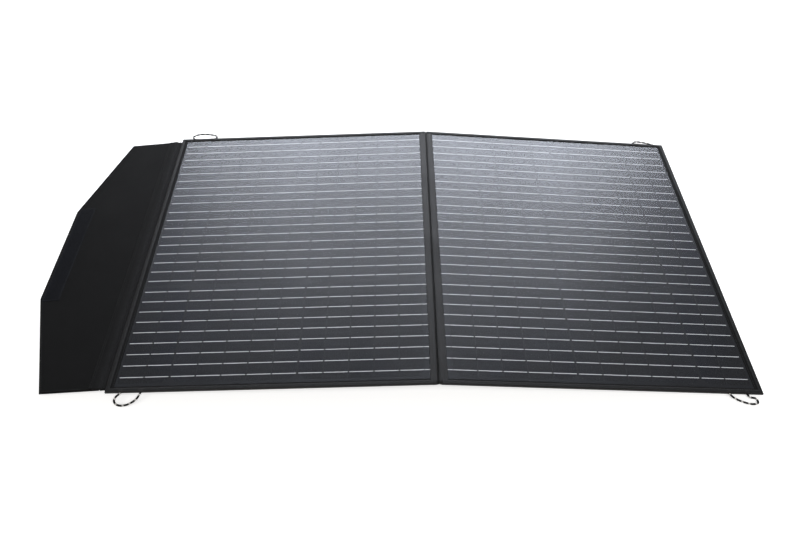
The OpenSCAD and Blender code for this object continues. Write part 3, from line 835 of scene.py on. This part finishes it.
# Behind, each panel's back cloth runs on to a seam under the fold line, and a hem covers the board's end. They are
# two pieces, because shutting turns the panels by more than half a turn, which a single bent strip can't follow.
for side in ("left", "right"):
    put = on_panel(side)
    runout = slab(
        f"{side}_fold_runout", sorted({0.00045, 0.0036, *spread(0.0008, 0.003, 8)}), spread(-0.264, 0.264, 60), put,
        lambda u, y: -3.95 * MM, runout_face, OXFORD,
    )
    hem = slab(
        f"{side}_fold_hem", [0.00255, 0.00262, 0.00277, 0.0029, 0.00297], spread(-0.2638, 0.2638, 100), put,
        hem_top, lambda u, y: -4.0 * MM, OXFORD,
    )
    for piece in (runout, hem):
        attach(piece, f"{side}_panel")
    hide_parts(f"{side}_hinge_back")


def jumper_top(u, y):
    """The braid dives under the crease and comes up again to the cells' level on each panel."""
    dive = min(max((3.1 - abs(u / MM)) / 1.3, 0.0), 1.0)
    return (-1.38 - 1.95 * dive * dive * (3 - 2 * dive)) * MM


jumper = slab(
    "jumper_strap", sorted({-0.009, 0.009, *spread(-0.0066, 0.0066, 44)}), spread(-0.156, -0.144, 8),
    across_fold, jumper_top, lambda u, y: jumper_top(u, y) - 0.27 * MM, BRAID,
)
for piece, layer in ((fold_cover, "hinge_front"), (jumper, "jumper")):
    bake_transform(piece)
    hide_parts(f"left_{layer}", f"right_{layer}")
for side in ("left", "right"):
    put = on_panel(side)
    up = up_of(put)
    seams = ((0.0103, -0.62), (0.0052, -0.42))
    lines = [[(put(u, -0.262, w * MM), up), (put(u, 0.262, w * MM), up)] for u, w in seams]
    sewn = stitches(f"{side}_fold_seams", lines, THREAD)
    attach(sewn, f"{side}_panel")

# ---- spine and flap
def spine_height(s):
    """Top of the cloth from the panel's edge over the spine to the flap, in mm, by mm outward from the fold line."""
    points = [
        (-0.7, 0.3), (0.1, -0.8), (0.9, -1.95), (2.3, -2.0), (3.1, -1.1), (4.5, -0.95), (5.4, -1.5), (6.4, -1.2),
        (7.8, 0.0), (9.6, 0.8), (12, 0.75), (15.5, 0.5), (19, 0.4), (22, 0.34), (23.2, 0.22), (23.8, 0.08),
    ]
    if s <= points[0][0]:
        return points[0][1]
    for (a, p), (b, q) in zip(points, points[1:]):
        if s <= b:
            t = (s - a) / (b - a)
            t = t * t * (3 - 2 * t)
            return p + (q - p) * t
    return points[-1][1]


def spine_top(s, y):
    """The same height, with small dents that fade out at the panel."""
    dent = 0.25 * ripple(s, y, 0.04, 21) + 0.12 * ripple(s, y, 0.012, 22)
    calm = min(1.0, max(0.0, (s / MM - 0.5) / 3))
    return (spine_height(s / MM) + dent * calm * (1 if s < 9 * MM else 0.35)) * MM


def spine_bottom(s, y):
    """Free cloth over the spine; beyond it the cloth lies on the flap."""
    if s < 9.3 * MM:
        return spine_top(s, y) - 0.45 * MM
    return 0.02 * MM


hinge_ys = spread(-HINGE_HALF, HINGE_HALF, 150)
inner_cloth = slab(
    "spine_cloth", spread(-0.0007, 0.0045, 14), hinge_ys, on_flap, spine_top, spine_bottom, HINGE,
)
outer_cloth = slab(
    "flap_hinge_cloth", sorted({*spread(0.0045, 0.0115, 16), *spread(0.0115, 0.0222, 10), 0.0232, 0.0238}),
    hinge_ys, on_flap, spine_top, spine_bottom, HINGE,
)
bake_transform(inner_cloth)
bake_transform(outer_cloth)
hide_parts("spine_fabric")

# Lower layer of the spine, under the fold
spine_under = slab(
    "spine_back_cloth", spread(0.0006, 0.0084, 12), spread(-HINGE_HALF, HINGE_HALF, 60), on_flap,
    lambda s, y: -2.5 * MM, lambda s, y: (-2.95 + 0.04 * ripple(s, y, 0.02, 23)) * MM, OXFORD,
)
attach(spine_under, "spine")


def reach(y):
    """How far the flap reaches at this place along it."""
    t = max(0.0, (abs(y) - FLAP_TIP) / (FLAP_HALF - FLAP_TIP))
    return FLAP_REACH - (FLAP_REACH - FLAP_END) * t


def flap_profile(s, y):
    """0 at the flap's free edge to 1 inside it, for its rounded edge."""
    far = (reach(y) - s) / (math.hypot(1, FLAP_SLANT) if abs(y) > FLAP_TIP else 1)
    d = min(far, FLAP_HALF - abs(y)) / (1.3 * MM)
    return math.sqrt(max(0.0, 1 - (1 - min(max(d, 0.0), 1.0)) ** 2))


def flap_shell():
    """The flap's cover as one closed shell, filled by its stiffener, with a rounded edge and slight swells."""
    edge_ys = [*[FLAP_HALF - d * MM for d in (0, 0.15, 0.5, 1.3, 3)], FLAP_TIP]
    ys = sorted({*[way * y for way in (-1, 1) for y in edge_ys], *spread(-0.255, 0.255, 140)})
    shares = spread(0, 1, 46)
    verts, uvs = [], []
    rows = []
    for y in ys:
        r = reach(y)
        inside = [0.0004 + (r - 4 * MM - 0.0004) * t for t in shares]
        rows.append(inside + [r - d * MM for d in (2.2, 1.3, 0.5, 0.15, 0)])
    cols = len(rows[0])
    for face in (1, 0):
        for y, row in zip(ys, rows):
            for s in row:
                p = flap_profile(s, y)
                soft = 0.16 * ripple(s, y, 0.06, 31) + 0.07 * ripple(s, y, 0.018, 32)
                z = (-1.5 + (1.5 + soft) * p) if face else (-1.5 - (1.48 + 0.5 * soft) * p)
                z = min(z, 0.0) if s < 25 * MM and face else z
                verts.append(on_flap(SPINE_W + s, y, max(z, -3.0) * MM))
                uvs.append((s, y))
    n = len(ys)
    faces = grid_faces(n, cols) + grid_faces(n, cols, n * cols, flip=True)
    ring = [
        *range(cols), *range(2 * cols - 1, n * cols, cols),
        *range(n * cols - 2, (n - 1) * cols - 1, -1), *range((n - 2) * cols, 0, -cols),
    ]
    for a, b in zip(ring, ring[1:] + ring[:1]):
        faces.append([a, b, b + n * cols, a + n * cols])
    return shell("flap_cover", verts, faces, uvs, OXFORD)


flap = flap_shell()
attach(flap, "flap")
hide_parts("flap_face", "flap_back", "flap_binding")

flap_up = up_of(on_flap)


def flap_line(inset, z, up):
    """A line parallel to the flap's free edges, this far inside them."""
    lean = math.hypot(1, FLAP_SLANT)
    tip = FLAP_TIP - inset * (lean - 1) / FLAP_SLANT
    end = FLAP_END - inset * (lean - FLAP_SLANT)
    far, half, start = FLAP_REACH - inset, FLAP_HALF - inset, 0.026
    corners = [(start, -half), (end, -half), (far, -tip), (far, tip), (end, half), (start, half)]
    return [(on_flap(SPINE_W + s, y, z), up) for s, y in corners]


flap_seams = [
    flap_line(3.0 * MM, 0.06 * MM, flap_up), flap_line(3.0 * MM, -3.0 * MM, -flap_up),
    [(on_flap(0.0200, -0.256, 0.44 * MM), flap_up), (on_flap(0.0200, 0.256, 0.44 * MM), flap_up)],
    [(on_flap(0.0226, -0.256, 0.40 * MM), flap_up), (on_flap(0.0226, 0.256, 0.40 * MM), flap_up)],
]
sewn = stitches("flap_seam_stitches", flap_seams, THREAD)
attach(sewn, "flap")


def grip_strip(name, s0, s1, half, base, put, up, material, pitch, tall, hooks):
    """A sewn strip with real hooks or loops standing on its tape."""
    rng = random.Random(name)
    low, thick = base, 0.32 * MM
    verts, faces, uvs = [], [], []
    outline = rounded(s0, s1, half, 1.2 * MM, 22.5)
    n = len(outline)
    for z in (low, low + up * thick * 0.8, low + up * thick):
        shrink = 0.25 * MM if z == low + up * thick else 0.0
        for s, y, _, _ in outline:
            verts.append(put(s + (-shrink if s > (s0 + s1) / 2 else shrink), y + (-shrink if y > 0 else shrink), z))
            uvs.append((s, y))
    faces += grid_faces(3, n, close_cols=True)
    faces += [list(range(n)), [3 * n - 1 - k for k in range(n)]]
    inset = 2.6 * MM
    rows = int((s1 - s0 - 2 * inset) / (pitch * MM))
    cols = int((2 * half - 2 * inset) / (pitch * MM))
    for i in range(rows + 1):
        for j in range(cols + 1):
            s = s0 + inset + i * pitch * MM + rng.uniform(-0.12, 0.12) * MM
            y = -half + inset + j * pitch * MM + rng.uniform(-0.12, 0.12) * MM
            if hooks:
                turn = (0.5 if (i + j) % 2 else -0.5) * math.pi + rng.uniform(-0.5, 0.5)
            else:
                turn = rng.uniform(0, math.tau)
            c, sine = math.cos(turn), math.sin(turn)
            wide = 0.42 * MM
            arch = [(-0.5, 0.0), (-0.48, 0.55), (-0.2, 0.95), (0.2, 1.0), (0.46, 0.7)]
            arch += [] if hooks else [(0.5, 0.0)]
            first = len(verts)
            for k, (a, h) in enumerate(arch):
                z = low + up * (thick * 0.7 + (tall * MM - thick) * h)
                r = 0.11 * MM * (1 if k < len(arch) - 1 else 0.7)
                for px, py in ((-r, -r), (r, -r), (r, r), (-r, r)):
                    px += a * wide
                    verts.append(put(s + px * c - py * sine, y + px * sine + py * c, z))
                    uvs.append((s + px, y + py))
            faces += grid_faces(len(arch), 4, first, close_cols=True)
            faces.append([first + k for k in range(4)])
            faces.append([first + 4 * (len(arch) - 1) + k for k in (3, 2, 1, 0)])
    return shell(name, verts, faces, uvs, material, smooth=False)


def patch_seam(s0, s1, half):
    """The corners of the seam round a strip."""
    i = 1.3 * MM
    return [(s0 + i, -half + i), (s1 - i, -half + i), (s1 - i, half - i), (s0 + i, half - i), (s0 + i, -half + i)]


# The hook strip near the flap's free edge, and on the right panel's back the loop strip that it meets
HOOK_S0, HOOK_S1 = SPINE_W + FLAP_REACH - 0.005 - 0.027, SPINE_W + FLAP_REACH - 0.005
HOOK_HALF, LOOP_HALF = 0.099, 0.103
hook = grip_strip("hook_patch", HOOK_S0, HOOK_S1, HOOK_HALF, 0.03 * MM, on_flap, 1, HOOKS, 1.5, 0.86, True)
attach(hook, "flap")
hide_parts("hook_strip")
seam = [(on_flap(s, y, 0.38 * MM), flap_up) for s, y in patch_seam(HOOK_S0, HOOK_S1, HOOK_HALF)]
sewn = stitches("hook_patch_stitches", [seam], THREAD, radius=0.15)
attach(sewn, "flap")

right_up = up_of(RIGHT)
LOOP_U0 = PANEL_W - (FLAP_REACH - 0.005 - 0.0135) - 0.0135 - 0.004
LOOP_U1 = LOOP_U0 + 0.035
loop_patch = grip_strip("loop_patch", LOOP_U0, LOOP_U1, LOOP_HALF, BACK_FACE * MM, RIGHT, -1, LOOPS, 1.25, 0.86, False)
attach(loop_patch, "right_panel")
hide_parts("right_loop_strip")
seam = [(RIGHT(u, y, UNDERSIDE * MM), -right_up) for u, y in patch_seam(LOOP_U0, LOOP_U1, LOOP_HALF)]
sewn = stitches("loop_patch_stitches", [seam], THREAD, radius=0.15)
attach(sewn, "right_panel")

# ---- pocket
POCKET_START, POCKET_END, POCKET_HALF = 0.022, 0.382, 0.15
ZIP_START, ZIP_END = 0.026, 0.24


def ground_level(u):
    """The ground's height under the left panel's plane."""
    return u * math.tan(LEFT_SLOPE) - FOLD.z / math.cos(LEFT_SLOPE)


# Down the pocket's walls: share of the height, and how far in, in mm
POCKET_WALL = (
    (0.0, 0.0), (0.02, -0.3), (0.12, -0.8), (0.3, -1.5), (0.5, -1.7), (0.7, -1.4), (0.85, -0.7), (0.93, -0.2),
    (0.97, -0.6), (0.99, -1.6), (1.0, -3.5), (1.0, -10.0),
)


def pocket_shell():
    """A soft bag: a flange on the panel's back, walls that ease in and out, and a bottom that rests on the ground."""
    outline = rounded(POCKET_START, POCKET_END, POCKET_HALF, 0.012, 15)
    full = []
    for p, q in zip(outline, outline[1:] + outline[:1]):
        gap = math.hypot(q[0] - p[0], q[1] - p[1])
        n = max(1, round(gap / 0.005))
        for k in range(n):
            t = k / n
            full.append(tuple(a + (b - a) * t for a, b in zip(p, q)))
    verts, uvs = [], []
    for share, inset in POCKET_WALL:
        run = 0.0
        for k, (u, y, nu, ny) in enumerate(full):
            run += math.hypot(u - full[k - 1][0], y - full[k - 1][1]) if k else 0.0
            # The front wall stays straight along the zip
            front = ny < -0.9 and ZIP_START < u < ZIP_END
            fold = 0.0 if front else 0.9 * ripple(run, share * 0.02, 0.03, 41) * math.sin(math.pi * share)
            d = (min(0.0, (0.0 if front and share < 0.9 else inset) + fold)) * MM
            top, low = -4.36 * MM, ground_level(u) + 0.1 * MM
            verts.append(LEFT(u + nu * d, y + ny * d, top + (low - top) * share))
            uvs.append((run, share * 0.03 if share < 1 else 0.03 - d))
    cols = len(full)
    faces = grid_faces(len(POCKET_WALL), cols, close_cols=True)
    last = (len(POCKET_WALL) - 1) * cols
    # The bottom closes in rings, finely enough for its slight sags
    cu = (POCKET_START + POCKET_END) / 2
    for scale in (0.8, 0.55, 0.3, 0.12):
        for u, y, nu, ny in full:
            uu, yy = cu + (u - 10 * MM * nu - cu) * scale, (y - 10 * MM * ny) * scale
            verts.append(LEFT(uu, yy, ground_level(uu) + (0.15 + 0.2 * abs(ripple(uu, yy, 0.05, 43))) * MM))
            uvs.append((uu, yy))
    faces += grid_faces(5, cols, last, close_cols=True)
    faces.append([last + 4 * cols + k for k in range(cols)])
    faces.append(list(reversed(range(cols))))
    return shell("pocket_bag", verts, faces, uvs, LINING), full


pocket, pocket_outline = pocket_shell()
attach(pocket, "left_panel")
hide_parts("pocket")

left_up = up_of(LEFT)
closed_outline = [*pocket_outline, pocket_outline[0]]
flange_lines = [
    [(LEFT(u + nu * grow * MM, y + ny * grow * MM, -4.62 * MM), -left_up) for u, y, nu, ny in closed_outline]
    for grow in (2.0, 5.0)
]
flange_verts, flange_uvs = [], []
for d, w in ((0.0, -4.37), (0.0, -4.55), (0.4, -4.66), (3.5, -4.64), (6.6, -4.62), (7.0, -4.5), (7.0, -4.37)):
    for k, (u, y, nu, ny) in enumerate(pocket_outline):
        flange_verts.append(LEFT(u + nu * d * MM, y + ny * d * MM, w * MM))
        flange_uvs.append((k * 0.005, d * MM))
flange_faces = grid_faces(7, len(pocket_outline), close_rows=True, close_cols=True)
flange = shell("pocket_flange", flange_verts, flange_faces, flange_uvs, LINING)
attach(flange, "left_panel")
sewn = stitches("pocket_seams", flange_lines, THREAD)
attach(sewn, "left_panel")

# ---- floor, world and lights
FLOOR_Z, FLOOR_HALF = -0.0006, 8
WHITE = rgb(1.0, 1.0, 1.0)
# The floor has a little light of its own, which keeps the shadow on it faint
floor_graph = Graph("floor_pale", Specular_IOR_Level=0.1, Emission_Color=WHITE, Emission_Strength=0.55)
floor_place = floor_graph.coords("Object")
floor_cloud = floor_graph.noise(floor_place, 1.5, 3.0)
floor_graph.finish(
    floor_graph.blend(floor_cloud, rgb(0.85, 0.85, 0.85), rgb(0.89, 0.89, 0.89)),
    floor_graph.vary(floor_cloud, 0.8, 0.9),
)
corners = [(x * FLOOR_HALF, y * FLOOR_HALF, FLOOR_Z) for x, y in ((-1, -1), (1, -1), (1, 1), (-1, 1))]
floor = make("floor", corners, [(0, 1, 2, 3)], None, floor_graph.material)

world = bpy.data.worlds.new("studio")
world.use_nodes = True
background = world.node_tree.nodes["Background"]
background.inputs[0].default_value = rgb(1.0, 0.99, 0.975)
background.inputs[1].default_value = 0.15
scene.world = world


def softbox(name, place, aim, size, power, color):
    """A rectangular area light at place, turned to aim."""
    light = bpy.data.lights.new(name, "AREA")
    light.color = color
    light.shape = "RECTANGLE"
    light.size, light.size_y = size
    light.energy = power
    obj = bpy.data.objects.new(name, light)
    scene.collection.objects.link(obj)
    obj.location = place
    obj.rotation_euler = (Vector(aim) - Vector(place)).to_track_quat("-Z", "Y").to_euler()


softbox("softbox_back", (0.2, 2.3, 1.3), (0.1, 0, 0), (3.0, 1.4), 113, (0.89, 0.925, 1.0))
softbox("softbox_front", (0.0, -1.9, 2.6), (0, 0, 0), (4.0, 1.5), 62, (1.0, 0.98, 0.95))
scene.view_settings.view_transform = "Standard"
